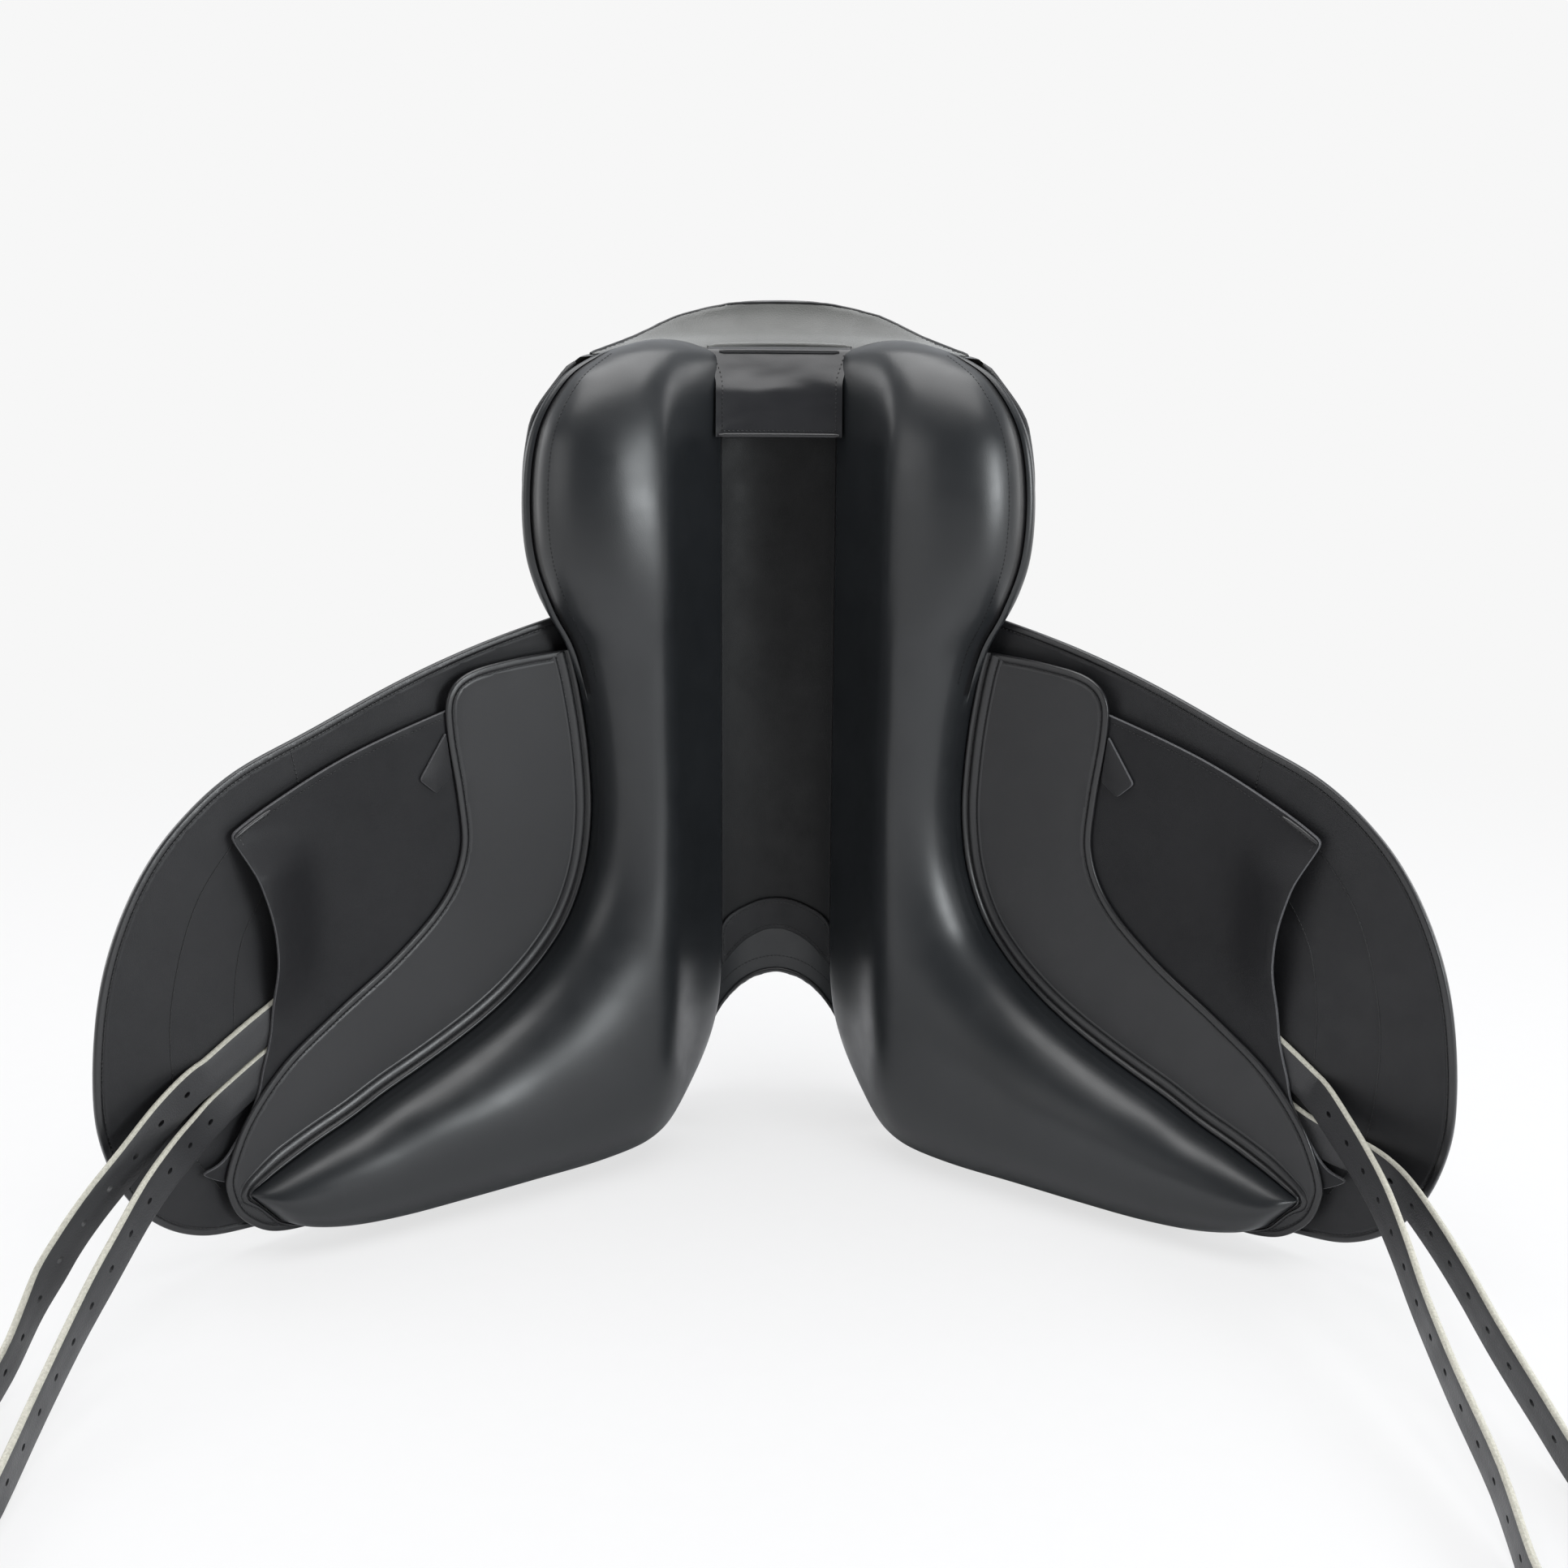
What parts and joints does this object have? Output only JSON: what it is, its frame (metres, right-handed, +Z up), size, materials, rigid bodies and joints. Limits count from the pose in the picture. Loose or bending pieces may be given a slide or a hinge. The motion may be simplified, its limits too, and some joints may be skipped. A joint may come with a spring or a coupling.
{
  "type": "icelandic saddle",
  "caption": "Icelandic riding saddle standing on its pommel with spread flaps, two stuffed panels either side of an open gullet, and girth straps that hang free.",
  "frame": {"origin": "on the floor, under the middle of the box round the whole part, on the saddle's centre plane", "axes": "+X to the rider's right, +Y the saddle's up direction, from the panels to the seat, +Z up, from pommel to cantle; the saddle stands on its nose"},
  "size_m": [0.8962, 0.7138, 0.61],
  "materials": {
    "panel_leather": "smooth black leather with a soft sheen",
    "flap_leather": "matt black bridle leather, flesh side dyed",
    "seat_leather": "grained black leather",
    "lining_leather": "thin wrinkled black lining leather",
    "billet_leather": "black strap leather with raw grey edges",
    "web": "woven natural webbing",
    "foam": "open-cell seat foam",
    "laminated_wood": "laminated beech",
    "steel": "forged steel, lightly brushed"
  },
  "bodies": {
    "saddle": {"bar_rivet_1_left": "steel", "bar_rivet_1_right": "steel", "bar_rivet_2_left": "steel", "bar_rivet_2_right": "steel", "billet_guard_left": "flap_leather", "billet_guard_right": "flap_leather", "billet_root_front_left": "billet_leather", "billet_root_front_right": "billet_leather", "billet_root_rear_left": "billet_leather", "billet_root_rear_right": "billet_leather", "cantle_back": "seat_leather", "catch_pin_left": "steel", "catch_pin_right": "steel", "flap_root_left": "flap_leather", "flap_root_right": "flap_leather", "girth_web_left": "web", "girth_web_right": "web", "gullet_bridge": "lining_leather", "gullet_lining": "lining_leather", "gullet_plate": "steel", "panel_left": "panel_leather", "panel_right": "panel_leather", "pommel_head": "seat_leather", "pommel_lining": "lining_leather", "seat_cover": "seat_leather", "seat_foam": "foam", "seat_web_cross": "web", "seat_web_left": "web", "seat_web_right": "web", "stirrup_bar_left": "steel", "stirrup_bar_right": "steel", "sweat_flap_left": "flap_leather", "sweat_flap_right": "flap_leather", "tree_frame": "laminated_wood"},
    "flap_left": {"outer_flap_left": "flap_leather", "knee_block_left": "flap_leather"},
    "skirt_left": {"skirt_left": "seat_leather"},
    "safety_catch_left": {"safety_catch_left": "steel"},
    "keeper_tab_left": {"keeper_tab_left": "flap_leather"},
    "billet_rear_left": {"billet_rear_left": "billet_leather"},
    "billet_front_left": {"billet_front_left": "billet_leather"},
    "flap_right": {"outer_flap_right": "flap_leather", "knee_block_right": "flap_leather"},
    "skirt_right": {"skirt_right": "seat_leather"},
    "safety_catch_right": {"safety_catch_right": "steel"},
    "keeper_tab_right": {"keeper_tab_right": "flap_leather"},
    "billet_rear_right": {"billet_rear_right": "billet_leather"},
    "billet_front_right": {"billet_front_right": "billet_leather"}
  },
  "joints": [
    {"name": "flap_lift_left", "type": "hinge", "parent": "saddle", "child": "flap_left", "pos_m": [-0.14581, 0.1815, 0.2355], "axis": [0, 0, -1], "range_deg": [0, 50], "stiffness_Nm_per_rad": 0.5},
    {"name": "skirt_lift_left", "type": "hinge", "parent": "saddle", "child": "skirt_left", "pos_m": [-0.12059, 0.22453, 0.25551], "axis": [0, 0, -1], "range_deg": [0, 50], "stiffness_Nm_per_rad": 0.05},
    {"name": "catch_turn_left", "type": "hinge", "parent": "saddle", "child": "safety_catch_left", "pos_m": [-0.11564, 0.21045, 0.265], "axis": [-0.8375, -0.5465, 0], "range_deg": [0, 20]},
    {"name": "tab_lift_left", "type": "hinge", "parent": "saddle", "child": "keeper_tab_left", "pos_m": [-0.21967, 0.10936, 0.316], "axis": [-0.0905, -0.0696, 0.9935], "range_deg": [0, 60], "stiffness_Nm_per_rad": 0.01},
    {"name": "strap_lift_rear_left", "type": "hinge", "parent": "saddle", "child": "billet_rear_left", "pos_m": [-0.36072, -0.00236, 0.132], "axis": [-0.349, -0.3282, 0.8778], "range_deg": [0, 45]},
    {"name": "strap_lift_front_left", "type": "hinge", "parent": "saddle", "child": "billet_front_left", "pos_m": [-0.35196, 0.00579, 0.1105], "axis": [-0.3487, -0.3237, 0.8796], "range_deg": [0, 45]},
    {"name": "flap_lift_right", "type": "hinge", "parent": "saddle", "child": "flap_right", "pos_m": [0.14581, 0.1815, 0.2355], "axis": [0, 0, 1], "range_deg": [0, 50], "stiffness_Nm_per_rad": 0.5},
    {"name": "skirt_lift_right", "type": "hinge", "parent": "saddle", "child": "skirt_right", "pos_m": [0.12059, 0.22453, 0.25551], "axis": [0, 0, 1], "range_deg": [0, 50], "stiffness_Nm_per_rad": 0.05},
    {"name": "catch_turn_right", "type": "hinge", "parent": "saddle", "child": "safety_catch_right", "pos_m": [0.11564, 0.21045, 0.265], "axis": [-0.8375, 0.5465, 0], "range_deg": [0, 20]},
    {"name": "tab_lift_right", "type": "hinge", "parent": "saddle", "child": "keeper_tab_right", "pos_m": [0.21967, 0.10936, 0.316], "axis": [-0.0905, 0.0696, -0.9935], "range_deg": [0, 60], "stiffness_Nm_per_rad": 0.01},
    {"name": "strap_lift_rear_right", "type": "hinge", "parent": "saddle", "child": "billet_rear_right", "pos_m": [0.34646, 0.01086, 0.1215], "axis": [-0.3836, 0.3532, -0.8533], "range_deg": [0, 45]},
    {"name": "strap_lift_front_right", "type": "hinge", "parent": "saddle", "child": "billet_front_right", "pos_m": [0.36218, -0.00373, 0.0855], "axis": [-0.1998, 0.188, -0.9616], "range_deg": [0, 45]}
  ],
  "couplings": [
    {"joint": "skirt_lift_left", "follows": "flap_lift_left", "ratio": 1},
    {"joint": "strap_lift_front_left", "follows": "strap_lift_rear_left", "ratio": 1},
    {"joint": "skirt_lift_right", "follows": "flap_lift_right", "ratio": 1},
    {"joint": "strap_lift_front_right", "follows": "strap_lift_rear_right", "ratio": 1}
  ]
}
